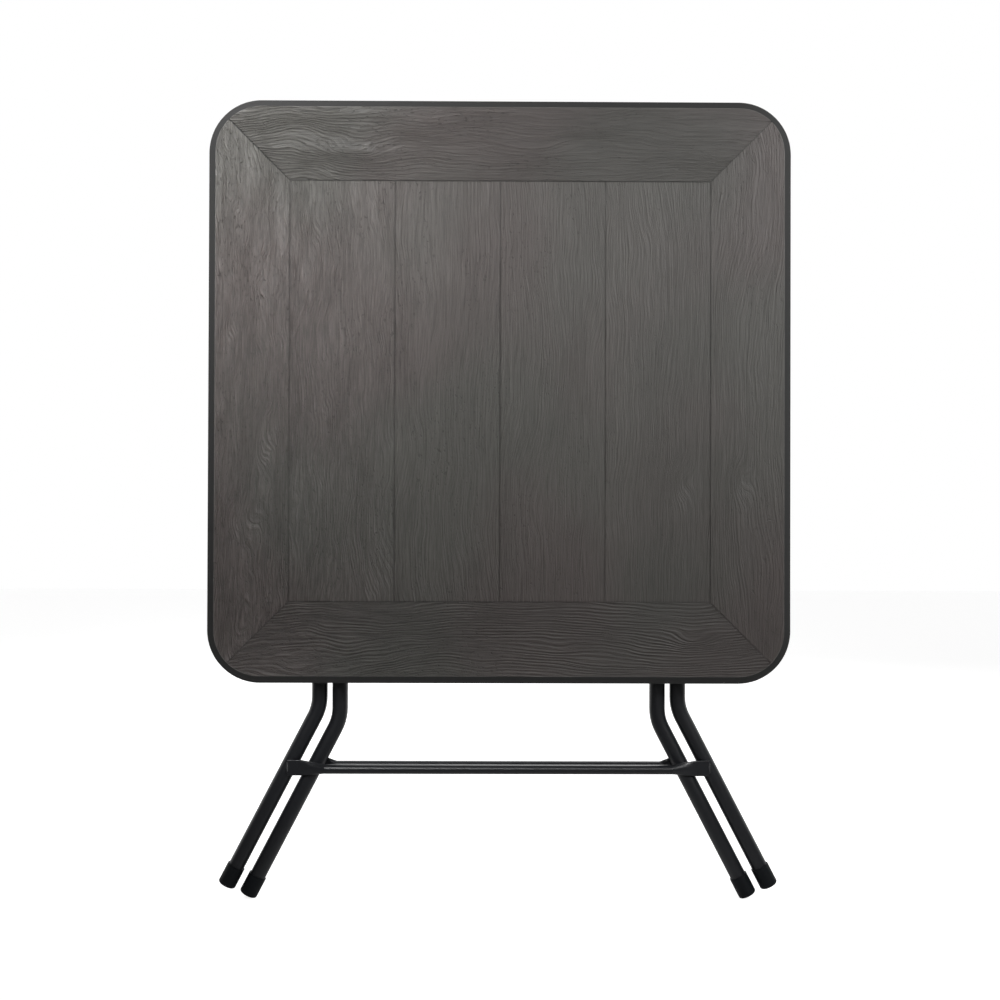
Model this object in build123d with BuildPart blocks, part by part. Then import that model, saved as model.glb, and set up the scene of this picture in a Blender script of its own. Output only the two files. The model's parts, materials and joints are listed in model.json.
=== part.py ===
from build123d import *
import math
import os

# Folding card table, folded, as it stands on its feet.
# X to the right, Y to the rear, Z up. The playing surface faces the front.
os.makedirs("parts", exist_ok=True)

# Tabletop
top_size = 800
top_corner = 72
top_thickness = 38
rim_width = 10
rim_depth = 6
edge_round = 3
skirt_width = 24
recess_depth = 10
skin = 2.5
border_width = 112
plank_count = 4
groove_width = 1.8
groove_depth = 0.8
kissoff_radius = 11
kissoff_tip_radius = 5
kissoff_pitch = 96
top_edge_height = 306

# Leg frames
tube_radius = 11
tube_wall = 1.2
tube_standoff = 13
outer_half_width = 251
leg_spacing = 6.5
top_bend_radius = 60
flare_bend_radius = 62
flare_angle = 27.5
outer_flare_height = 267
flare_step = 16
outer_foot_height = 13
inner_foot_height = 0
hinge_drop = 160
inner_bar_drop = 30
pivot_leg_share = 0.4
open_angle = 47

# Foot caps
cap_wall = 1.6
cap_length = 30
cap_sole = 5
cap_round = 3

# Crossbars
crossbar_radius = 6.5
outer_crossbar_height = 184
crossbar_step = 1.5
crossbar_flat_width = 22
crossbar_flat_thickness = 3
crossbar_flat_share = 0.8
outer_crossbar_stand = 10
outer_flare_run = 36
inner_flare_run = 12

# Scissor pivots
pivot_radius = 4
pivot_head_radius = 8
pivot_head_height = 3
pivot_spacer_radius = 8
open_pivot_gap = 0.5

# Hinge brackets, rails, glides and catches
bracket_inset = 21
bracket_width = 24
bracket_sheet = 2
bracket_foot = 20
bushing_wall = 2.5
bushing_length = 30
rail_inset = 42.5
rail_width = 26
rail_sheet = 2
rail_foot = 24
rail_overrun = 22
glide_wall = 3
glide_width = 34
glide_length = 30
glide_cheek_depth = 5
catch_spacing = 34
catch_width = 22
catch_wall = 4
catch_mouth = 16
catch_foot = 20
catch_foot_thickness = 4
screw_radius = 2
screw_length = 14
screw_head_radius = 4
screw_head_height = 2.5
boss_radius = 8

# Clearances
running_gap = 0.05
fit_gap = 0.1
free_gap = 0.3
catch_gap = 0.4
overrun = 1

# Widths that follow
inner_half_width = outer_half_width - 2 * tube_radius - leg_spacing
bracket_x = outer_half_width - top_bend_radius - bracket_inset
rail_x = inner_half_width - top_bend_radius - rail_inset
catch_x = rail_x - catch_spacing

# Heights that follow
inner_flare_height = outer_flare_height - flare_step
inner_crossbar_height = outer_crossbar_height - crossbar_step
top_centre_z = top_edge_height + top_size / 2
cap_radius = tube_radius + cap_wall
flare = math.radians(flare_angle)
cap_flat_radius = cap_radius - cap_round
sole_rise = cap_flat_radius * math.sin(flare) + cap_round * (1 - math.cos(flare))
outer_sole_z = outer_foot_height + sole_rise
inner_sole_z = inner_foot_height + sole_rise
hinge_z = top_edge_height + top_size - hinge_drop
pivot_drop = pivot_leg_share * (hinge_z - outer_sole_z)
inner_bar_z = hinge_z - inner_bar_drop
pivot_z = hinge_z - pivot_drop
pivot_to_inner_bar = pivot_drop - inner_bar_drop

# The open table: both frames stand on the floor and share the pivot, so the inner bar moves
# down the top and away from it, and both turn about the sides.
outer_turn = math.radians(open_angle)
pivot_share = (pivot_z - outer_sole_z) / (pivot_z - inner_sole_z)
inner_slope = math.asin(math.sin(outer_turn) * pivot_share)
inner_turn = math.pi - inner_slope
pivot_reach = pivot_drop * math.cos(outer_turn) + pivot_to_inner_bar * math.cos(inner_slope)
travel_down = pivot_reach - inner_bar_drop
travel_back = pivot_drop * math.sin(outer_turn) - pivot_to_inner_bar * math.sin(inner_slope)
glide_travel = math.hypot(travel_down, travel_back)
ramp = math.atan2(travel_back, travel_down)

# Depths that follow, with the box centred on Y = 0
catch_bore = tube_radius + catch_gap
depth_front = tube_standoff + top_thickness
depth_back = travel_back + catch_bore + catch_wall
tube_y = (depth_front - depth_back) / 2
back_y = tube_y - tube_standoff
face_y = back_y - top_thickness
floor_y = back_y - recess_depth
open_bar_y = tube_y + travel_back
open_bar_z = inner_bar_z - travel_down
bar_height = tube_y - floor_y
glide_hub_radius = tube_radius + running_gap + glide_wall


def rear_plane(y):
    """A plane that looks at the front, at depth y, with its own Y up."""
    return Plane.XZ.offset(-y)


def spread_on(plane, places):
    """The plane's frame, moved to each of the places on it."""
    return [plane.location * Location((x, z, 0)) for x, z in places]


def side_plane(x):
    """A plane that looks along X, with Y to its right and Z up."""
    return Plane.YZ.offset(x)


def finish_part(builder, name):
    builder.part.label = name
    export_step(builder.part, f"parts/{name}.step")


# Screw places, as X and Z on the recess floor
bracket_foot_z = tube_radius + bushing_wall + fit_gap + bracket_sheet + bracket_foot / 2
bracket_screw_places = [
    (side * bracket_x, hinge_z + end * bracket_foot_z) for side in (-1, 1) for end in (-1, 1)
]
rail_top_z = inner_bar_z + rail_overrun
rail_low_z = open_bar_z - rail_overrun
rail_screw_places = [
    (side * rail_x, z)
    for side in (-1, 1)
    for z in (rail_top_z + rail_foot / 2, rail_low_z - rail_foot / 2)
]
catch_half = catch_bore + catch_wall
catch_screw_places = [
    (side * catch_x, open_bar_z + end * (catch_half + catch_foot / 2))
    for side in (-1, 1)
    for end in (-1, 1)
]
all_screw_places = bracket_screw_places + rail_screw_places + catch_screw_places


# Tabletop: two plastic skins with a hollow between them, tacked together by cones
cavity_size = top_size - 2 * (rim_width + skin)
cavity_front_y = face_y + skin
cavity_back_y = floor_y - skin
cavity_depth = cavity_back_y - cavity_front_y
cone_depth = floor_y - face_y - 2 * skin
cone_count = int(cavity_size / kissoff_pitch)
screw_clearance = boss_radius + kissoff_radius + 2 * skin


def is_clear_of_screws(x, z):
    return all(math.hypot(x - sx, z - sz) > screw_clearance for sx, sz in all_screw_places)


kissoff_first = -(cone_count - 1) * kissoff_pitch / 2
kissoff_steps = [kissoff_first + step * kissoff_pitch for step in range(cone_count)]
kissoff_places = [
    (x, top_centre_z + dz)
    for x in kissoff_steps
    for dz in kissoff_steps
    if is_clear_of_screws(x, top_centre_z + dz)
]

cone_align = (Align.CENTER, Align.CENTER, Align.MIN)

with BuildPart() as cavity:
    with BuildSketch(rear_plane(cavity_back_y)):
        with Locations((0, top_centre_z)):
            RectangleRounded(cavity_size, cavity_size, top_corner - rim_width - skin)
    extrude(amount=cavity_depth)
    with Locations(*spread_on(rear_plane(cavity_back_y), kissoff_places)):
        Cone(
            kissoff_radius + skin,
            kissoff_tip_radius + skin,
            cavity_depth,
            align=cone_align,
            mode=Mode.SUBTRACT,
        )
    with BuildSketch(rear_plane(cavity_back_y)):
        with Locations(*all_screw_places):
            Circle(boss_radius)
    extrude(amount=cavity_depth, mode=Mode.SUBTRACT)

recess_size = top_size - 2 * skirt_width
field = top_size - 2 * border_width
mitre_outer = top_size / 2 - rim_width - (top_corner - rim_width) * (1 - math.sqrt(0.5))
mitre_middle = (field / 2 + mitre_outer) / 2
mitre_length = (mitre_outer - field / 2) * math.sqrt(2)
plank_width = field / plank_count

with BuildPart() as tabletop:
    with BuildSketch(rear_plane(back_y)):
        with Locations((0, top_centre_z)):
            RectangleRounded(top_size, top_size, top_corner)
    extrude(amount=top_thickness - rim_depth)
    with BuildSketch(rear_plane(face_y + rim_depth)):
        with Locations((0, top_centre_z)):
            RectangleRounded(top_size, top_size, top_corner)
    extrude(amount=rim_depth, taper=math.degrees(math.atan2(rim_width, rim_depth)))
    for y in (back_y, face_y + rim_depth):
        fillet(tabletop.edges().filter_by_position(Axis.Y, y - fit_gap, y + fit_gap), edge_round)
    # Underside recess inside the skirt
    with BuildSketch(rear_plane(back_y)):
        with Locations((0, top_centre_z)):
            RectangleRounded(recess_size, recess_size, top_corner - skirt_width)
    extrude(amount=recess_depth, mode=Mode.SUBTRACT)
    add(cavity.part, mode=Mode.SUBTRACT)
    # Tack-off cones, open to the rear
    with Locations(*spread_on(rear_plane(floor_y), kissoff_places)):
        Cone(
            kissoff_radius, kissoff_tip_radius, cone_depth, align=cone_align, mode=Mode.SUBTRACT
        )
    # Screw holes
    with BuildSketch(rear_plane(floor_y)):
        with Locations(*all_screw_places):
            Circle(screw_radius + fit_gap)
    extrude(amount=screw_length + overrun, mode=Mode.SUBTRACT)
    # Grooves between the boards of the playing surface
    with BuildSketch(rear_plane(face_y + groove_depth)):
        with Locations((0, top_centre_z)):
            Rectangle(field + groove_width, field + groove_width)
            Rectangle(field - groove_width, field - groove_width, mode=Mode.SUBTRACT)
            with Locations((mitre_middle, mitre_middle), (-mitre_middle, -mitre_middle)):
                Rectangle(mitre_length, groove_width, rotation=45)
            with Locations((-mitre_middle, mitre_middle), (mitre_middle, -mitre_middle)):
                Rectangle(mitre_length, groove_width, rotation=-45)
            with GridLocations(plank_width, 0, plank_count - 1, 1):
                Rectangle(groove_width, field)
    extrude(amount=groove_depth + overrun, mode=Mode.SUBTRACT)
finish_part(tabletop, "tabletop")


# Leg frames: each is one bent tube with two flared legs and a top bar
def foot_x(half_width, flare_z, z):
    return half_width + (flare_z - z) * math.tan(flare)


def tube_end(half_width, flare_z, sole_z):
    """The middle of the tube's end, which sits on the sole inside the cap."""
    z = sole_z + cap_sole * math.cos(flare)
    return foot_x(half_width, flare_z, z), z


def leg_frame(name, half_width, flare_z, bar_z, sole_z):
    end_x, end_z = tube_end(half_width, flare_z, sole_z)
    points = [
        (-end_x, end_z),
        (-half_width, flare_z),
        (-half_width, bar_z),
        (half_width, bar_z),
        (half_width, flare_z),
        (end_x, end_z),
    ]
    route = [(x, tube_y, z) for x, z in points]
    radii = [flare_bend_radius, top_bend_radius, top_bend_radius, flare_bend_radius]
    with BuildPart() as frame:
        with BuildLine() as path:
            FilletPolyline(*route, radius=radii)
        start = Plane(path.line @ 0, z_dir=path.line % 0)
        with BuildSketch(start):
            Circle(tube_radius)
        sweep(path=path.line)
        with BuildSketch(start):
            Circle(tube_radius - tube_wall)
        sweep(path=path.line, mode=Mode.SUBTRACT)
        # Pivot holes through both legs
        with BuildSketch(side_plane(-half_width - tube_radius - overrun)):
            with Locations((tube_y, pivot_z)):
                Circle(pivot_radius + fit_gap)
        extrude(amount=2 * (half_width + tube_radius + overrun), mode=Mode.SUBTRACT)
    finish_part(frame, name)


leg_frame("outer_leg_tube", outer_half_width, outer_flare_height, hinge_z, outer_sole_z)
leg_frame("inner_leg_tube", inner_half_width, inner_flare_height, inner_bar_z, inner_sole_z)


# Foot caps: plastic cups over the tube ends
def foot_cap(name, side, half_width, flare_z, sole_z):
    sole = (side * foot_x(half_width, flare_z, sole_z), tube_y, sole_z)
    up_the_leg = (-side * math.sin(flare), 0, math.cos(flare))
    with BuildPart() as cap:
        with BuildSketch(Plane(sole, z_dir=up_the_leg)):
            Circle(cap_radius)
        extrude(amount=cap_length)
        fillet(cap.edges().filter_by(GeomType.CIRCLE).sort_by(Axis.Z)[0], radius=cap_round)
        with BuildSketch(Plane(sole, z_dir=up_the_leg).offset(cap_sole)):
            Circle(tube_radius + fit_gap)
        extrude(amount=cap_length, mode=Mode.SUBTRACT)
    finish_part(cap, name)


for side, side_name in ((-1, "left"), (1, "right")):
    foot_cap(f"outer_foot_cap_{side_name}", side, outer_half_width, outer_flare_height, outer_sole_z)
    foot_cap(f"inner_foot_cap_{side_name}", side, inner_half_width, inner_flare_height, inner_sole_z)


# Crossbars: thin tubes whose flattened ends are welded to the legs
def crossbar(name, half_width, flare_z, bar_z, facing, stand, flare_run):
    """facing is -1 for the front of the legs and 1 for their back."""
    end_x = foot_x(half_width, flare_z, bar_z)
    flat_x = end_x - crossbar_flat_share * crossbar_flat_width
    round_x = flat_x - flare_run
    flat_y = tube_y + facing * (tube_radius + crossbar_flat_thickness / 2)
    bar_y = flat_y + facing * stand
    with BuildPart() as bar:
        with BuildSketch(side_plane(-round_x)):
            with Locations((bar_y, bar_z)):
                Circle(crossbar_radius)
        extrude(amount=2 * round_x)
        for side in (-1, 1):
            with BuildSketch(side_plane(side * round_x)):
                with Locations((bar_y, bar_z)):
                    Circle(crossbar_radius)
            with BuildSketch(side_plane(side * flat_x)):
                with Locations((flat_y, bar_z)):
                    SlotCenterToCenter(
                        crossbar_flat_width - crossbar_flat_thickness,
                        crossbar_flat_thickness,
                        rotation=90,
                    )
            loft()
            with BuildSketch(side_plane(side * flat_x)):
                with Locations((flat_y, bar_z)):
                    SlotCenterToCenter(
                        crossbar_flat_width - crossbar_flat_thickness,
                        crossbar_flat_thickness,
                        rotation=90,
                    )
            extrude(amount=side * (end_x - flat_x))
        # The bore ends where the tube is pressed flat
        with BuildSketch(side_plane(-round_x)):
            with Locations((bar_y, bar_z)):
                Circle(crossbar_radius - tube_wall)
        extrude(amount=2 * round_x, mode=Mode.SUBTRACT)
    finish_part(bar, name)


crossbar(
    "outer_crossbar",
    outer_half_width,
    outer_flare_height,
    outer_crossbar_height,
    -1,
    outer_crossbar_stand,
    outer_flare_run,
)
crossbar(
    "inner_crossbar",
    inner_half_width,
    inner_flare_height,
    inner_crossbar_height,
    1,
    0,
    inner_flare_run,
)


# Scissor pivots: a bolt and spacer on each outer leg, and a nut on each inner leg
def turned(name, side, x_start, steps):
    """Discs in a row along X, each a radius and a length, at the height of the pivot."""
    with BuildPart() as piece:
        x = x_start
        for radius, length in steps:
            with BuildSketch(side_plane(side * x)):
                with Locations((tube_y, pivot_z)):
                    Circle(radius)
            extrude(amount=side * length)
            x += length
    finish_part(piece, name)


outer_face_x = outer_half_width + tube_radius
outer_inside_x = outer_half_width - tube_radius
inner_face_x = inner_half_width + tube_radius
inner_inside_x = inner_half_width - tube_radius
spacer_x = inner_face_x + open_pivot_gap

for side, side_name in ((-1, "left"), (1, "right")):
    turned(
        f"pivot_bolt_{side_name}",
        side,
        spacer_x,
        [(pivot_radius, outer_face_x - spacer_x), (pivot_head_radius, pivot_head_height)],
    )
    turned(
        f"pivot_nut_{side_name}",
        side,
        inner_inside_x - pivot_head_height,
        [(pivot_head_radius, pivot_head_height), (pivot_radius, inner_face_x - inner_inside_x)],
    )
    with BuildPart() as spacer:
        with BuildSketch(side_plane(side * spacer_x)):
            with Locations((tube_y, pivot_z)):
                Circle(pivot_spacer_radius)
                Circle(pivot_radius + fit_gap, mode=Mode.SUBTRACT)
        extrude(amount=side * (outer_inside_x - spacer_x))
    finish_part(spacer, f"pivot_spacer_{side_name}")


# Hinge brackets: steel saddles over a bushing on the outer frame's top bar
saddle_bore = tube_radius + bushing_wall + fit_gap
saddle_radius = saddle_bore + bracket_sheet


def hinge_bracket(name, x):
    with BuildPart() as bracket:
        with BuildSketch(side_plane(x - bracket_width / 2)):
            with Locations((tube_y, hinge_z)):
                Circle(saddle_radius)
            with Locations((tube_y - bar_height / 2, hinge_z)):
                Rectangle(bar_height, 2 * saddle_radius)
            with Locations((floor_y + bracket_sheet / 2, hinge_z)):
                Rectangle(bracket_sheet, 2 * (saddle_radius + bracket_foot))
            with Locations((tube_y, hinge_z)):
                Circle(saddle_bore, mode=Mode.SUBTRACT)
            with Locations((tube_y - bar_height, hinge_z)):
                Rectangle(2 * bar_height, 2 * saddle_bore, mode=Mode.SUBTRACT)
        extrude(amount=bracket_width)
        with BuildSketch(rear_plane(floor_y + bracket_sheet)):
            with Locations(*[(px, pz) for px, pz in bracket_screw_places if px * x > 0]):
                Circle(screw_radius + fit_gap)
        extrude(amount=bracket_sheet, mode=Mode.SUBTRACT)
    finish_part(bracket, name)


def hinge_bushing(name, x):
    with BuildPart() as bushing:
        with BuildSketch(side_plane(x - bushing_length / 2)):
            with Locations((tube_y, hinge_z)):
                Circle(tube_radius + bushing_wall)
                Circle(tube_radius + running_gap, mode=Mode.SUBTRACT)
        extrude(amount=bushing_length)
    finish_part(bushing, name)


# Support rails: steel channels whose back face ramps away from the top
rail_top_rise = bar_height - glide_hub_radius - running_gap - rail_overrun * math.tan(ramp)
rail_length = rail_top_z - rail_low_z
rail_low_rise = rail_top_rise + rail_length * math.tan(ramp)


def rail_corners(inset, overshoot):
    """The side of the rail, from the recess floor to its running face."""
    return [
        (floor_y - overshoot, rail_top_z - inset),
        (floor_y + rail_top_rise - inset, rail_top_z - inset),
        (floor_y + rail_low_rise - inset, rail_low_z + inset),
        (floor_y - overshoot, rail_low_z + inset),
    ]


def support_rail(name, x):
    with BuildPart() as rail:
        with BuildSketch(side_plane(x - rail_width / 2)):
            Polygon(*rail_corners(0, 0), align=None)
        extrude(amount=rail_width)
        with BuildSketch(side_plane(x - rail_width / 2 + rail_sheet)):
            Polygon(*rail_corners(rail_sheet, overrun), align=None)
        extrude(amount=rail_width - 2 * rail_sheet, mode=Mode.SUBTRACT)
        with BuildSketch(rear_plane(floor_y + rail_sheet)):
            with Locations(*[(px, pz) for px, pz in rail_screw_places if px * x > 0]):
                Rectangle(rail_width, rail_foot)
                Circle(screw_radius + fit_gap, mode=Mode.SUBTRACT)
        extrude(amount=rail_sheet)
    finish_part(rail, name)


# Glides: plastic saddles on the inner top bar, each straddling its rail
def on_ramp(along, away):
    """A point measured from the inner bar, along the rail and away from the top."""
    y = tube_y + along * math.sin(ramp) + away * math.cos(ramp)
    z = inner_bar_z - along * math.cos(ramp) + away * math.sin(ramp)
    return y, z


def ramp_block(first, last, near, far):
    """Corners of a block along the ramp, from near the top to far from it."""
    corners = ((first, near), (last, near), (last, far), (first, far))
    return [on_ramp(*corner) for corner in corners]


glide_ends = (-glide_length / 2, glide_length / 2)


running_face = -(glide_hub_radius + running_gap) * math.cos(ramp)


def glide(name, x):
    with BuildPart() as piece:
        with BuildSketch(side_plane(x - glide_width / 2)):
            with Locations((tube_y, inner_bar_z)):
                Circle(glide_hub_radius)
            Polygon(*ramp_block(*glide_ends, running_face - glide_cheek_depth, 0), align=None)
        extrude(amount=glide_width)
        with BuildSketch(side_plane(x - glide_width / 2 - overrun)):
            with Locations((tube_y, inner_bar_z)):
                Circle(tube_radius + running_gap)
        extrude(amount=glide_width + 2 * overrun, mode=Mode.SUBTRACT)
        with BuildSketch(side_plane(x - rail_width / 2 - free_gap)):
            Polygon(
                *ramp_block(*glide_ends, running_face - 2 * glide_cheek_depth, running_face),
                align=None,
            )
        extrude(amount=rail_width + 2 * free_gap, mode=Mode.SUBTRACT)
    finish_part(piece, name)


# Catches: plastic cradles, open along the ramp, that the inner top bar slides into
mouth_start = glide_travel - catch_mouth


def catch(name, x):
    with BuildPart() as cradle:
        with BuildSketch(side_plane(x - catch_width / 2)):
            with Locations((open_bar_y, open_bar_z)):
                Circle(catch_half)
            Polygon(*ramp_block(mouth_start, glide_travel, -catch_half, catch_half), align=None)
            with Locations(((floor_y + open_bar_y) / 2, open_bar_z)):
                Rectangle(open_bar_y - floor_y, 2 * catch_half)
            with Locations((floor_y + catch_foot_thickness / 2, open_bar_z)):
                Rectangle(catch_foot_thickness, 2 * (catch_half + catch_foot))
            with Locations((open_bar_y, open_bar_z)):
                Circle(catch_bore, mode=Mode.SUBTRACT)
            slot_start = mouth_start - catch_mouth
            Polygon(
                *ramp_block(slot_start, glide_travel, -catch_bore, catch_bore),
                align=None,
                mode=Mode.SUBTRACT,
            )
        extrude(amount=catch_width)
        with BuildSketch(rear_plane(floor_y + catch_foot_thickness)):
            with Locations(*[(px, pz) for px, pz in catch_screw_places if px * x > 0]):
                Circle(screw_radius + fit_gap)
        extrude(amount=catch_foot_thickness, mode=Mode.SUBTRACT)
    finish_part(cradle, name)


for side, side_name in ((-1, "left"), (1, "right")):
    hinge_bracket(f"hinge_bracket_{side_name}", side * bracket_x)
    hinge_bushing(f"hinge_bushing_{side_name}", side * bracket_x)
    support_rail(f"support_rail_{side_name}", side * rail_x)
    glide(f"glide_{side_name}", side * rail_x)
    catch(f"catch_{side_name}", side * catch_x)


# Screws: a shank in the top's boss and a round head on the sheet that it holds
def screws(name, places, sheet):
    with BuildPart() as group:
        with BuildSketch(rear_plane(floor_y + sheet)):
            with Locations(*places):
                Circle(screw_radius)
        extrude(amount=sheet + screw_length)
        with BuildSketch(rear_plane(floor_y + sheet + screw_head_height)):
            with Locations(*places):
                Circle(screw_head_radius)
        extrude(amount=screw_head_height)
    finish_part(group, name)


screws("bracket_screws", bracket_screw_places, bracket_sheet)
screws("rail_screws", rail_screw_places, rail_sheet)
screws("catch_screws", catch_screw_places, catch_foot_thickness)

use_height = (hinge_z - outer_sole_z) * math.sin(outer_turn) + bar_height + top_thickness - recess_depth
print("hinge", tube_y, hinge_z, "inner bar", tube_y, inner_bar_z)
print("outer turn", open_angle, "inner turn", math.degrees(inner_turn))
print("glide travel", glide_travel, "axis", math.sin(ramp), -math.cos(ramp))
print("height in use about", use_height + cap_radius * math.cos(outer_turn))
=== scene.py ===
import json
import math
from typing import NamedTuple

import bmesh
import bpy
from mathutils import Matrix, Vector


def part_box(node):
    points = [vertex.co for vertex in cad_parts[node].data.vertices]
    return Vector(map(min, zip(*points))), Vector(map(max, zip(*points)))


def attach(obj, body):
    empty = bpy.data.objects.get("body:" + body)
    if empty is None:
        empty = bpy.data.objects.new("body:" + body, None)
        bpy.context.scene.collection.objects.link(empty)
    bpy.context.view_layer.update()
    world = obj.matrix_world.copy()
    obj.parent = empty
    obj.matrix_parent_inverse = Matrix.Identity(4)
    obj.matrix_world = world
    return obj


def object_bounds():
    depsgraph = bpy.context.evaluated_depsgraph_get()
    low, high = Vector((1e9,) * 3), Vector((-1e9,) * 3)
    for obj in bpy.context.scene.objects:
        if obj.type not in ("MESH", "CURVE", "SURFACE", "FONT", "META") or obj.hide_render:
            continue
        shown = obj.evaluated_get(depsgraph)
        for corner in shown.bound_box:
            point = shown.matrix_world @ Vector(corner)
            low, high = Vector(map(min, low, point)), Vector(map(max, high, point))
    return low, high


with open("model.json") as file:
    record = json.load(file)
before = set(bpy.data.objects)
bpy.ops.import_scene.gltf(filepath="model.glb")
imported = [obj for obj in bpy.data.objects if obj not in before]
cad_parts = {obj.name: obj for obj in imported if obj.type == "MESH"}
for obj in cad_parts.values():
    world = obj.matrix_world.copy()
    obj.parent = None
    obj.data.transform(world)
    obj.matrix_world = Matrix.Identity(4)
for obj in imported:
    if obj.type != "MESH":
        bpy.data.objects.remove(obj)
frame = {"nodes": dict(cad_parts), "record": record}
cad_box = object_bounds()

# Millimetres in a metre
MM = 1000.0

# The tabletop in millimetres, with the border, rim and corners that the CAD gives it
TOP_LOW, TOP_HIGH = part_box("tabletop")
TOP_MIDDLE = (TOP_LOW[2] + TOP_HIGH[2]) / 2 * MM
TOP_FACE = TOP_LOW[1] * MM
TOP_HALF = round((TOP_HIGH[0] - TOP_LOW[0]) / 2 * MM, 3)
BORDER_WIDTH = 112.0
PLANK_COUNT = 4
RIM_WIDTH = 10.0
TOP_CORNER = 72.0
FIELD_HALF = TOP_HALF - BORDER_WIDTH
PLANK_WIDTH = 2 * FIELD_HALF / PLANK_COUNT
FACE_HALF = TOP_HALF - RIM_WIDTH
FACE_CORNER = TOP_CORNER - RIM_WIDTH

# Camera in metres and degrees, fitted to the corners of the top and the ends of the legs, with
# its focal length as a share of the sensor's width in millimetres
CAMERA_PLACE = (-0.01081, -1.80973, 0.54289)
CAMERA_PITCH = 0.471
CAMERA_YAW = -0.372
CAMERA_ROLL = 0.174
FOCAL_SHARE = 1.28947
SENSOR_WIDTH = 36

BLACK = (0.0, 0.0, 0.0, 1.0)
WHITE = (1.0, 1.0, 1.0, 1.0)


class Graph:
    """Short calls that add shader nodes to one material or world."""

    def __init__(self, tree):
        self.tree = tree

    def put(self, socket, value):
        if isinstance(value, bpy.types.NodeSocket):
            self.tree.links.new(value, socket)
        else:
            socket.default_value = value

    def node(self, kind, **inputs):
        made = self.tree.nodes.new(kind)
        for name, value in inputs.items():
            self.put(made.inputs[name], value)
        return made

    def math(self, operation, *values, clamp=False):
        made = self.tree.nodes.new("ShaderNodeMath")
        made.operation = operation
        made.use_clamp = clamp
        for socket, value in zip(made.inputs, values):
            self.put(socket, value)
        return made.outputs[0]

    def plus(self, first, second):
        return self.math("ADD", first, second)

    def minus(self, first, second):
        return self.math("SUBTRACT", first, second)

    def times(self, first, second):
        return self.math("MULTIPLY", first, second)

    def over(self, first, second):
        return self.math("DIVIDE", first, second)

    def larger(self, first, second):
        return self.math("MAXIMUM", first, second)

    def above(self, value, limit):
        return self.math("GREATER_THAN", value, limit)

    def below(self, value, limit):
        return self.math("LESS_THAN", value, limit)

    def size(self, value):
        return self.math("ABSOLUTE", value)

    def weighted(self, value, weight, base):
        """value times weight, plus base."""
        return self.math("MULTIPLY_ADD", value, weight, base)

    def pick(self, share, when_zero, when_one):
        """A number between two others."""
        made = self.tree.nodes.new("ShaderNodeMix")
        made.data_type = "FLOAT"
        for socket, value in zip(made.inputs[:1] + made.inputs[2:4], (share, when_zero, when_one)):
            self.put(socket, value)
        return made.outputs[0]

    def blend(self, share, when_zero, when_one):
        """A colour between two others."""
        made = self.tree.nodes.new("ShaderNodeMix")
        made.data_type = "RGBA"
        for socket, value in zip(made.inputs[:1] + made.inputs[6:8], (share, when_zero, when_one)):
            self.put(socket, value)
        return made.outputs[2]

    def point(self, x, y, z):
        return self.node("ShaderNodeCombineXYZ", X=x, Y=y, Z=z).outputs[0]

    def split(self, vector):
        """The X, Y and Z of a vector."""
        return self.node("ShaderNodeSeparateXYZ", Vector=vector).outputs

    def coordinates(self, kind):
        return self.tree.nodes.new("ShaderNodeTexCoord").outputs[kind]

    def noise(self, place, scale=1.0, detail=2.0, roughness=0.5, distortion=0.0):
        made = self.node(
            "ShaderNodeTexNoise",
            Vector=place,
            Scale=scale,
            Detail=detail,
            Roughness=roughness,
            Distortion=distortion,
        )
        return made.outputs["Fac"]

    def smooth(self, value, low, high):
        """0 below low and 1 above high, with a soft step between."""
        made = self.tree.nodes.new("ShaderNodeMapRange")
        made.interpolation_type = "SMOOTHSTEP"
        self.put(made.inputs["Value"], value)
        self.put(made.inputs["From Min"], low)
        self.put(made.inputs["From Max"], high)
        return made.outputs["Result"]

    def bump(self, height, strength, distance):
        made = self.node(
            "ShaderNodeBump", Height=height, Strength=strength, Distance=distance
        )
        return made.outputs["Normal"]


def new_material(name):
    material = bpy.data.materials.new(name)
    material.use_nodes = True
    return material, Graph(material.node_tree), material.node_tree.nodes["Principled BSDF"]


def object_place(graph):
    """The place on the piece in millimetres, as three numbers."""
    return [graph.times(output, MM) for output in graph.split(graph.coordinates("Object"))]


class Figure(NamedTuple):
    """A noise on the boards: how often it repeats in a millimetre across and along the grain,
    a number that sets it apart, and the values between which it is spread from 0 to 1."""

    across: float
    along: float
    seed: float
    detail: float
    roughness: float = 0.5
    distortion: float = 0.0
    span: tuple = None


SWAY = Figure(0.006, 0.0022, 0.0, detail=1.0)
RIPPLE = Figure(0.02, 0.009, 7.3, detail=2.0, roughness=0.4)
BREAKS = Figure(0.16, 0.02, 2.4, detail=3.0, roughness=0.6, span=(0.42, 0.66))
BOLD_LINES = Figure(0.035, 0.011, 8.1, detail=2.0, span=(0.34, 0.62))
FIBRES = Figure(0.42, 0.011, 1.9, detail=4.0, roughness=0.7, span=(0.28, 0.74))
STREAKS = Figure(0.75, 0.028, 9.2, detail=2.0, roughness=0.6)
PORE_PATCHES = Figure(0.02, 0.008, 4.4, detail=1.0, span=(0.42, 0.6))
PORES = Figure(0.42, 0.15, 3.1, detail=1.0, span=(0.63, 0.71))
FLECKS = Figure(0.12, 0.045, 6.6, detail=3.0, roughness=0.6, distortion=0.8, span=(0.4, 0.62))
TONE_PATCHES = Figure(0.008, 0.004, 5.7, detail=2.0)

# Where the grain changes, in millimetres from the middle of the top: leftwards to the knotty
# part, and rightwards to the calm part and to the part with few pores
KNOTTY_SPAN = (40.0, 300.0)
CALM_SPAN = (-120.0, 220.0)
FEW_PORES_SPAN = (0.0, 260.0)

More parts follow.
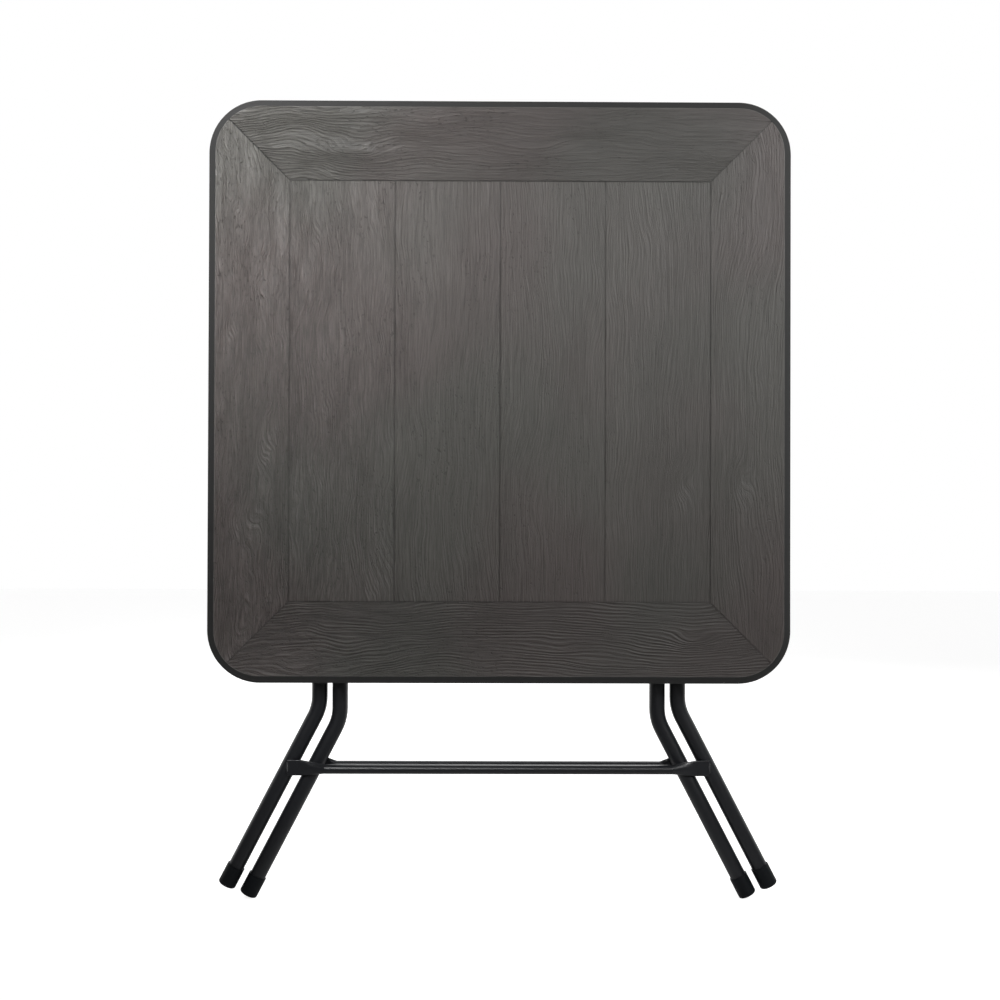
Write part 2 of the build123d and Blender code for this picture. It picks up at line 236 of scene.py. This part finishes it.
# The planks are numbered from the middle, and the boards of the border from another number on.
# Each step of the number moves the grain by BOARD_STEP.
BOARD_STEP = 41.7
FIRST_EDGE_BOARD = 11.0
SIDEWAYS_BOARD_STEP = 6.0

# Spacing of the growth lines, and how far each noise bends them, in millimetres. Here and below,
# what is named knotty is added where the grain is knotty.
LINE_SPACING = 3.4
SIDEWAYS_SPACING = 4.6
LINE_SPAN = (0.12, 0.95)
SWAY_REACH = 70.0
RIPPLE_REACH = 22.0
KNOTTY_RIPPLE_REACH = 34.0

# Height of the growth lines, in shares of the relief
LINE_HEIGHT = 0.3
SIDEWAYS_LINE_HEIGHT = 0.22
LINE_FACTOR = 0.9
KNOTTY_LINE_FACTOR = 2.2
BOLD_LINE_HEIGHT = 0.75
LOWER_LINE_HEIGHT = 0.16

# Weights of the other traits in the relief
FIBRE_RELIEF = 0.75
STREAK_RELIEF = 0.5
PORE_RELIEF = -0.6
FLECK_RELIEF = -0.3
CALM_RELIEF = 0.6
UPRIGHT_PORES = 0.5
FEW_PORES = 0.35

# Weights in the tone, which goes from the dark colour to the light one. Pores lower it.
PATCH_TONE = 0.35
RELIEF_TONE = 0.5
CALM_TONE = 0.07
STREAK_TONE = 0.7
KNOTTY_STREAK_TONE = 0.9
PORE_TONE = 0.25

BROWN_DARK = (0.058, 0.0495, 0.0465, 1.0)
BROWN_LIGHT = (0.121, 0.103, 0.0965, 1.0)
GREY_DARK = (0.0545, 0.052, 0.047, 1.0)
GREY_LIGHT = (0.112, 0.107, 0.0965, 1.0)
# Colour of the painted highlight beside the rim
RIM_HIGHLIGHT_COLOUR = (0.14, 0.135, 0.13, 1.0)
# Colour of the painted shade in the grooves
GROOVE_SHADE_COLOUR = (0.018, 0.017, 0.016, 1.0)
PLAIN_DARK = (0.03, 0.03, 0.03, 1.0)
PLAIN_LIGHT = (0.038, 0.0375, 0.037, 1.0)
PAINT_DARK = (0.006, 0.0068, 0.0088, 1.0)
PAINT_LIGHT = (0.0105, 0.0113, 0.0138, 1.0)
CAP_DARK = (0.003, 0.004, 0.0055, 1.0)
CAP_LIGHT = (0.006, 0.0075, 0.0095, 1.0)
NYLON_DARK = (0.02, 0.02, 0.022, 1.0)
NYLON_LIGHT = (0.03, 0.03, 0.031, 1.0)
ZINC_DARK = (0.42, 0.43, 0.46, 1.0)
ZINC_LIGHT = (0.62, 0.62, 0.63, 1.0)

# Values of a slow noise between which brown turns into grey, and its repeats in a millimetre
DRIFT_SPAN = (0.38, 0.62)
DRIFT_SCALE = 0.0035

# Share of black painted as shade on the boards that lie sideways
SIDEWAYS_PAINTED_SHADE = 0.22

# Finish of the grained face, and of the plain plastic round it and behind it
FACING_SPAN = (0.9, 0.97)
GRAIN_ROUGHNESS = 0.58
CREST_ROUGHNESS = -0.14
GRAIN_SHINE = 0.5
PLAIN_ROUGHNESS = 0.6
PLAIN_SHINE = 0.2
PLAIN_RELIEF = 0.1

# Painted highlight on the face beside the rim: distance from the edge in millimetres, and the
# share
RIM_HIGHLIGHT_SPAN = (-1.5, -0.4)
RIM_HIGHLIGHT_SHARE = 0.5

# Painted shade in the grooves, as a share of its colour, and where each share holds, in
# millimetres
GROOVE_SPAN = (0.15, 0.7)
LEFT_GROOVE_SHADE = 0.4
RIGHT_GROOVE_SHADE = 0.12
RIGHT_GROOVE_SHADE_SPAN = (20.0, 120.0)
TOP_GROOVE_SHADE = 0.45
TOP_GROOVE_SHADE_SPAN = (260.0, 285.0)
MITRE_GROOVE_SHADE = 0.9
MITRE_GROOVE_SHADE_SPAN = (280.0, 300.0)

# Knots and flames in the moulded grain: x and height from the middle of the face, reach in x
# and in height, and how far they push the lines, in millimetres
KNOTS = (
    (-326, -67, 15, 40, 17),
    (-338, 150, 12, 50, 7),
    (247, -122, 17, 26, 16),
    (331, -120, 14, 24, 16),
    (118, 64, 16, 60, 9),
    (-60, -168, 18, 44, 11),
    (262, -341, 30, 12, 13),
    (-212, 330, 70, 12, 9),
    (60, -352, 52, 13, 9),
    (-150, -338, 44, 12, -9),
    (120, 344, 50, 12, -8),
)


class Face:
    """Where a point of the tabletop lies: its place in millimetres, and the board it is on."""

    def __init__(self, graph):
        self.graph = graph
        self.x, self.y, self.level = object_place(graph)
        self.z = graph.minus(self.level, TOP_MIDDLE)
        self.leftwards = graph.times(self.x, -1.0)
        side = graph.size(self.x)
        height = graph.size(self.z)
        self.in_border = graph.above(graph.larger(side, height), FIELD_HALF)
        self.sideways = graph.times(self.in_border, graph.above(height, side))
        self.upright = graph.times(self.in_border, graph.below(height, side))
        self.lower = graph.times(self.sideways, graph.below(self.z, 0.0))
        self.along = graph.pick(self.sideways, self.z, self.x)
        self.across = graph.pick(self.sideways, self.x, self.z)
        self.board_shift = self.number_boards()
        self.knotty = graph.smooth(self.leftwards, *KNOTTY_SPAN)
        self.calm = graph.smooth(self.x, *CALM_SPAN)

    def number_boards(self):
        """How far the number of each board moves its grain."""
        graph = self.graph
        plank = graph.math("FLOOR", graph.over(self.x, PLANK_WIDTH))
        beyond = graph.above(self.across, 0.0)
        edge_board = graph.plus(
            beyond, graph.weighted(self.sideways, SIDEWAYS_BOARD_STEP, FIRST_EDGE_BOARD)
        )
        return graph.times(graph.pick(self.in_border, plank, edge_board), BOARD_STEP)

    def noise(self, figure, across=None):
        """A figure's noise, drawn out along the grain of each board."""
        graph = self.graph
        place = graph.point(
            graph.times(across or self.across, figure.across),
            graph.times(self.along, figure.along),
            graph.plus(self.board_shift, figure.seed),
        )
        value = graph.noise(
            place,
            detail=figure.detail,
            roughness=figure.roughness,
            distortion=figure.distortion,
        )
        return graph.smooth(value, *figure.span) if figure.span else value


def outside_face(graph, face):
    """How far a point lies outside the rounded square inside the rim, in millimetres."""
    straight = FACE_HALF - FACE_CORNER
    over_x, over_z = (
        graph.larger(graph.minus(graph.size(value), straight), 0.0) for value in (face.x, face.z)
    )
    squares = graph.plus(graph.math("POWER", over_x, 2.0), graph.math("POWER", over_z, 2.0))
    return graph.minus(graph.math("SQRT", squares), FACE_CORNER)


def knot_lift(graph, face):
    """How far the knots push the grain aside, in millimetres."""
    total = 0.0
    for place_x, place_z, reach_x, reach_z, lift in KNOTS:
        off_x = graph.over(graph.minus(face.x, place_x), reach_x)
        off_z = graph.over(graph.minus(face.z, place_z), reach_z)
        squares = graph.plus(graph.times(off_x, off_x), graph.times(off_z, off_z))
        fall = graph.math("EXPONENT", graph.times(squares, -1.0))
        total = graph.weighted(fall, lift, total)
    return total


def growth_lines(graph, face):
    """The growth lines' height, and the place across the board that follows them."""
    bowed = graph.plus(face.across, knot_lift(graph, face))
    bowed = graph.weighted(face.noise(SWAY), SWAY_REACH, bowed)
    ripple_reach = graph.weighted(face.knotty, KNOTTY_RIPPLE_REACH, RIPPLE_REACH)
    bowed = graph.weighted(face.noise(RIPPLE), ripple_reach, bowed)
    spacing = graph.pick(face.sideways, LINE_SPACING, SIDEWAYS_SPACING)
    line = graph.math("FRACT", graph.over(bowed, spacing))
    line = graph.math("PINGPONG", graph.times(line, 2.0), 1.0)
    line = graph.smooth(line, *LINE_SPAN)

    height = graph.times(face.noise(BREAKS), LINE_HEIGHT)
    height = graph.larger(height, graph.times(face.sideways, SIDEWAYS_LINE_HEIGHT))
    height = graph.times(
        height, graph.weighted(face.knotty, KNOTTY_LINE_FACTOR, LINE_FACTOR)
    )
    bold = graph.times(face.noise(BOLD_LINES), BOLD_LINE_HEIGHT)
    height = graph.pick(face.lower, height, graph.larger(bold, LOWER_LINE_HEIGHT))
    return graph.times(line, height), bowed


def open_pores(graph, face):
    """Small pores in patches, with more on the upright boards and few on the right."""
    pore = graph.times(
        face.noise(PORES), graph.weighted(face.upright, UPRIGHT_PORES, face.noise(PORE_PATCHES))
    )
    return graph.times(pore, graph.pick(graph.smooth(face.x, *FEW_PORES_SPAN), 1.0, FEW_PORES))


def painted_groove_shade(graph, face):
    """The share of painted shade in the grooves: little on the right, most in the upper left
    mitre.
    """
    share = graph.pick(graph.smooth(face.x, *RIGHT_GROOVE_SHADE_SPAN), LEFT_GROOVE_SHADE, RIGHT_GROOVE_SHADE)
    near_top = graph.smooth(face.z, *TOP_GROOVE_SHADE_SPAN)
    share = graph.larger(share, graph.times(near_top, TOP_GROOVE_SHADE))
    near_corner = graph.smooth(graph.math("MINIMUM", face.z, face.leftwards), *MITRE_GROOVE_SHADE_SPAN)
    share = graph.larger(share, graph.times(near_corner, MITRE_GROOVE_SHADE))
    depth = graph.minus(face.y, TOP_FACE)
    return graph.times(graph.smooth(depth, *GROOVE_SPAN), share)


def grain_colour(graph, face, relief, streak, pore):
    """Lighter on the raised grain, with slow drifts between brown and grey, a painted highlight
    beside the rim, and painted shade on the sideways boards and in the grooves.
    """
    tone = graph.weighted(face.noise(TONE_PATCHES), PATCH_TONE, graph.times(relief, RELIEF_TONE))
    tone = graph.weighted(face.calm, CALM_TONE, tone)
    streak_tone = graph.weighted(face.knotty, KNOTTY_STREAK_TONE, STREAK_TONE)
    tone = graph.weighted(streak, streak_tone, tone)
    tone = graph.math("SUBTRACT", tone, graph.times(pore, PORE_TONE), clamp=True)
    drift = graph.noise(graph.point(face.x, face.y, face.z), DRIFT_SCALE, detail=1.0)
    colour = graph.blend(
        graph.smooth(drift, *DRIFT_SPAN),
        graph.blend(tone, BROWN_DARK, BROWN_LIGHT),
        graph.blend(tone, GREY_DARK, GREY_LIGHT),
    )
    # Painted highlight on the face beside the rim
    rim_highlight = graph.times(graph.smooth(outside_face(graph, face), *RIM_HIGHLIGHT_SPAN), RIM_HIGHLIGHT_SHARE)
    colour = graph.blend(rim_highlight, colour, RIM_HIGHLIGHT_COLOUR)
    # Painted shade: the grain of these boards lies across the light, so they are painted darker
    colour = graph.blend(graph.times(face.sideways, SIDEWAYS_PAINTED_SHADE), colour, BLACK)
    # Painted shade in the grooves
    return graph.blend(painted_groove_shade(graph, face), colour, GROOVE_SHADE_COLOUR)


def wood_plastic():
    """The tabletop: grained on the playing surface, and plain on the rim and the rest."""
    material, graph, shader = new_material("wood_grain_plastic")
    face = Face(graph)
    relief, bowed = growth_lines(graph, face)
    fibre = face.noise(FIBRES, across=bowed)
    streak = graph.minus(face.noise(STREAKS), 0.5)
    pore = open_pores(graph, face)
    fleck = graph.times(face.noise(FLECKS), face.knotty)
    for trait, weight in (
        (fibre, FIBRE_RELIEF),
        (streak, STREAK_RELIEF),
        (pore, PORE_RELIEF),
        (fleck, FLECK_RELIEF),
    ):
        relief = graph.weighted(trait, weight, relief)
    relief = graph.times(relief, graph.pick(face.calm, 1.0, CALM_RELIEF))

    facing_front = graph.times(graph.split(graph.coordinates("Normal"))["Y"], -1.0)
    grained = graph.smooth(facing_front, *FACING_SPAN)
    fine = graph.noise(graph.point(face.x, face.y, face.level), scale=1.1, detail=2.0)
    height = graph.pick(grained, graph.times(fine, PLAIN_RELIEF), relief)
    colour = graph.blend(
        grained,
        graph.blend(fine, PLAIN_DARK, PLAIN_LIGHT),
        grain_colour(graph, face, relief, streak, pore),
    )
    roughness = graph.weighted(relief, CREST_ROUGHNESS, GRAIN_ROUGHNESS)
    shine = graph.pick(grained, PLAIN_SHINE, GRAIN_SHINE)
    graph.put(shader.inputs["Base Color"], colour)
    graph.put(shader.inputs["Roughness"], graph.pick(grained, PLAIN_ROUGHNESS, roughness))
    graph.put(shader.inputs["Specular IOR Level"], shine)
    graph.put(shader.inputs["Normal"], graph.bump(height, strength=0.9, distance=0.0011))
    return material


def powder_coat():
    """Black powder coat of the frames, rails and brackets."""
    material, graph, shader = new_material("black_powder_coat")
    place = graph.point(*object_place(graph))
    peel = graph.noise(place, scale=0.55, detail=3.0, roughness=0.6)
    cloud = graph.noise(place, scale=0.02, detail=2.0)
    graph.put(shader.inputs["Base Color"], graph.blend(cloud, PAINT_DARK, PAINT_LIGHT))
    graph.put(shader.inputs["Roughness"], graph.weighted(peel, weight=0.16, base=0.27))
    graph.put(shader.inputs["Normal"], graph.bump(peel, strength=0.12, distance=0.0002))
    return material


def moulded_plastic(name, dark, light, shine):
    """Plain moulded plastic with a fine grain."""
    material, graph, shader = new_material(name)
    grain = graph.noise(
        graph.point(*object_place(graph)), scale=1.8, detail=3.0, roughness=0.6
    )
    graph.put(shader.inputs["Base Color"], graph.blend(grain, dark, light))
    graph.put(shader.inputs["Roughness"], graph.weighted(grain, weight=0.2, base=0.42))
    graph.put(shader.inputs["Specular IOR Level"], shine)
    graph.put(shader.inputs["Normal"], graph.bump(grain, strength=0.3, distance=0.00015))
    return material


def zinc_plate():
    """Zinc-plated steel of the pivots and screws, with its spangle."""
    material, graph, shader = new_material("zinc_plate")
    spangle = graph.noise(
        graph.point(*object_place(graph)), scale=0.9, detail=4.0, roughness=0.7
    )
    graph.put(shader.inputs["Base Color"], graph.blend(spangle, ZINC_DARK, ZINC_LIGHT))
    graph.put(shader.inputs["Metallic"], 1.0)
    graph.put(shader.inputs["Roughness"], graph.weighted(spangle, weight=0.25, base=0.22))
    graph.put(shader.inputs["Normal"], graph.bump(spangle, strength=0.15, distance=0.0001))
    return material


WOOD = wood_plastic()
PAINT = powder_coat()
LOOKS = {
    "top_plastic": WOOD,
    "frame_paint": PAINT,
    "cap_plastic": moulded_plastic("cap_plastic", CAP_DARK, CAP_LIGHT, shine=0.2),
    "slide_plastic": moulded_plastic("slide_nylon", NYLON_DARK, NYLON_LIGHT, shine=0.5),
    "zinc": zinc_plate(),
}
for row in frame["record"]["subparts"]:
    piece = frame["nodes"][row["node"]]
    piece.data.materials.clear()
    piece.data.materials.append(LOOKS[row["material_slot"]])


# Weld beads where the crossbars' flattened ends meet the legs, in metres
BEAD_RADIUS = 0.0017
BEAD_INSET = 0.003
BEAD_SIDES = 12
BEAD_RIPPLES = 9
BEAD_RIPPLE_SHARE = 0.1
BEAD_STEPS = 54
BEAD_TAPER_POWER = 6
BEAD_TIP_SHARE = 0.02


def bead_radius(share):
    """The bead's radius at a share of its length: rippled, and drawn in at its ends."""
    taper = math.sqrt(max(0.0, 1 - (2 * share - 1) ** BEAD_TAPER_POWER)) + BEAD_TIP_SHARE
    ripple = 1 + BEAD_RIPPLE_SHARE * math.sin(2 * math.pi * BEAD_RIPPLES * share)
    return BEAD_RADIUS * taper * ripple


def weld_bead(name, body, start, end):
    """A bead of weld from one point to another, which rides on a body."""
    start = Vector(start)
    run = Vector(end) - start
    along = run.normalized()
    first = along.cross(Vector((0, 1, 0))).normalized()
    second = along.cross(first)
    mesh = bmesh.new()
    rings = []
    for step in range(BEAD_STEPS + 1):
        share = step / BEAD_STEPS
        radius = bead_radius(share)
        middle = start + run * share
        ring = []
        for corner in range(BEAD_SIDES):
            angle = 2 * math.pi * corner / BEAD_SIDES
            offset = first * math.cos(angle) + second * math.sin(angle)
            ring.append(mesh.verts.new(middle + offset * radius))
        rings.append(ring)
    for low_ring, high_ring in zip(rings, rings[1:]):
        for corner in range(BEAD_SIDES):
            beside = (corner + 1) % BEAD_SIDES
            mesh.faces.new(
                (low_ring[corner], low_ring[beside], high_ring[beside], high_ring[corner])
            )
    mesh.faces.new(list(reversed(rings[0])))
    mesh.faces.new(rings[-1])
    bmesh.ops.recalc_face_normals(mesh, faces=mesh.faces)
    data = bpy.data.meshes.new(name)
    mesh.to_mesh(data)
    mesh.free()
    for polygon in data.polygons:
        polygon.use_smooth = True
    data.materials.append(PAINT)
    piece = bpy.data.objects.new(name, data)
    bpy.context.collection.objects.link(piece)
    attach(piece, body)


def add_welds(node, body, facing):
    """A bead at each end of a crossbar. facing is -1 on the front of the legs and 1 behind."""
    low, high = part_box(node)
    legs_low, legs_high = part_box("outer_leg_tube")
    depth = legs_low[1] if facing < 0 else legs_high[1]
    for side, x in (("left", low[0]), ("right", high[0])):
        start = (x, depth + facing * BEAD_RADIUS, low[2] + BEAD_INSET)
        end = (x, depth + facing * BEAD_RADIUS, high[2] - BEAD_INSET)
        weld_bead(f"{node}_weld_{side}", body, start, end)


add_welds("outer_crossbar", "outer_legs", -1)
add_welds("inner_crossbar", "inner_legs", 1)


# The floor, in metres, with its glow, and where gloss starts to meet it as white, in millimetres
FLOOR_SIZE = 14
FLOOR_COLOUR = (0.8, 0.8, 0.8, 1.0)
FLOOR_ROUGHNESS = 0.9
FLOOR_GLOW = 0.86
FLOOR_GLOSS_SPAN = (0.0, 1500.0)

# The dim light of the room, and the directions to the rear between which the backdrop sets in
ROOM_GLOW = 0.09
BACKDROP_SPAN = (-0.3, 0.5)


def white_share(graph, behind):
    """1 for what the camera sees, and for what gloss meets behind the table."""
    paths = graph.tree.nodes.new("ShaderNodeLightPath").outputs
    seen = graph.larger(paths["Is Camera Ray"], paths["Is Transmission Ray"])
    return graph.larger(seen, graph.times(paths["Is Glossy Ray"], behind))


def floor_white():
    """Pale, and lit up for the camera to nearly plain white, with the object's shadow kept."""
    material, graph, shader = new_material("floor_white")
    graph.put(shader.inputs["Base Color"], FLOOR_COLOUR)
    graph.put(shader.inputs["Roughness"], FLOOR_ROUGHNESS)
    behind = graph.smooth(object_place(graph)[1], *FLOOR_GLOSS_SPAN)
    strength = graph.times(white_share(graph, behind), FLOOR_GLOW)
    glow = graph.node("ShaderNodeEmission", Color=WHITE, Strength=strength)
    both = graph.tree.nodes.new("ShaderNodeAddShader")
    graph.put(both.inputs[0], shader.outputs[0])
    graph.put(both.inputs[1], glow.outputs[0])
    graph.put(graph.tree.nodes["Material Output"].inputs["Surface"], both.outputs[0])
    return material


def add_floor():
    bpy.ops.mesh.primitive_plane_add(size=FLOOR_SIZE, location=(0, 0, cad_box[0][2]))
    floor = bpy.context.object
    floor.name = "floor"
    floor.data.materials.append(floor_white())


def add_world():
    """White for the camera, and for gloss where the backdrop is; the room in front is dim."""
    world = bpy.data.worlds.new("studio")
    bpy.context.scene.world = world
    world.use_nodes = True
    graph = Graph(world.node_tree)
    away = graph.split(graph.coordinates("Generated"))
    share = white_share(graph, graph.smooth(away["Y"], *BACKDROP_SPAN))
    back = graph.tree.nodes["Background"]
    graph.put(back.inputs["Color"], WHITE)
    graph.put(back.inputs["Strength"], graph.pick(share, ROOM_GLOW, 1.0))


def add_lamp(name, place, target, size, power, spread=180):
    """A rectangular lamp in metres and watts, with its spread in degrees."""
    lamp = bpy.data.lights.new(name, "AREA")
    lamp.shape = "RECTANGLE"
    lamp.size, lamp.size_y = size
    lamp.energy = power
    lamp.spread = math.radians(spread)
    holder = bpy.data.objects.new(name, lamp)
    holder.location = place
    aim = Vector(target) - Vector(place)
    holder.rotation_euler = aim.to_track_quat("-Z", "Y").to_euler()
    bpy.context.collection.objects.link(holder)


def add_camera():
    lens = bpy.data.cameras.new("photo_view")
    lens.sensor_fit = "HORIZONTAL"
    lens.sensor_width = SENSOR_WIDTH
    lens.lens = FOCAL_SHARE * SENSOR_WIDTH
    camera = bpy.data.objects.new("photo_view", lens)
    turn = (
        Matrix.Rotation(math.radians(CAMERA_YAW), 4, "Z")
        @ Matrix.Rotation(math.radians(90 + CAMERA_PITCH), 4, "X")
        @ Matrix.Rotation(math.radians(CAMERA_ROLL), 4, "Z")
    )
    camera.matrix_world = Matrix.Translation(CAMERA_PLACE) @ turn
    bpy.context.collection.objects.link(camera)
    bpy.context.scene.camera = camera


add_floor()
add_world()
# The key lamp lights the top's upper left and the fill lamp its right, the low lamp lights the
# crossbars, and the back lamp the rear
add_lamp("key", (-0.7, -1.5, 1.9), (-0.52, 0.0, 1.1), (0.6, 0.6), 4.4, spread=42)
add_lamp("fill", (1.6, -1.8, 1.7), (0.45, 0.0, 0.96), (0.8, 0.8), 5.7, spread=52)
add_lamp("low", (-0.1, -0.5, 0.46), (0.0, 0.0, 0.16), (1.0, 0.06), 0.24, spread=40)
add_lamp("back", (0.5, 1.9, 1.9), (0.0, 0.0, 0.6), (1.6, 1.2), 22)
add_camera()
bpy.context.scene.view_settings.view_transform = "Standard"
